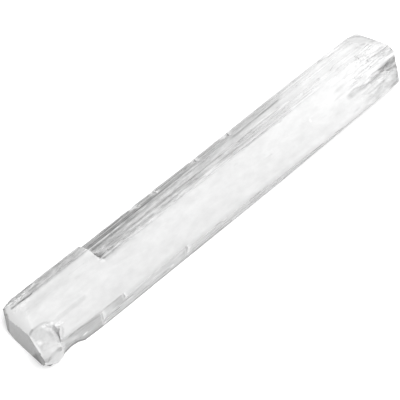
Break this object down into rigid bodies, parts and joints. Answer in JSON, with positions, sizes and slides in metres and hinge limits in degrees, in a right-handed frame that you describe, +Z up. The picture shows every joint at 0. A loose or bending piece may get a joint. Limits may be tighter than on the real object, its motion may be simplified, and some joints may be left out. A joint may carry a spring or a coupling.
{
  "type": "selenite crystal blade",
  "caption": "Natural selenite crystal blade: a long flat striated prism with faceted ends, a rounded boss at one corner and a long splintered slope along one edge.",
  "frame": {"origin": "middle of the bounding box, on the surface that the blade lies on", "axes": "+X along the blade from the end with the boss to the splintered end, +Y to the edge with the slope, +Z up from the resting face"},
  "size_m": [0.178, 0.0292, 0.0134],
  "materials": {
    "selenite": "milky, silky cleavage faces with fine lengthwise striations, translucent"
  },
  "bodies": {
    "root": {"selenite_blade": "selenite"}
  },
  "joints": []
}
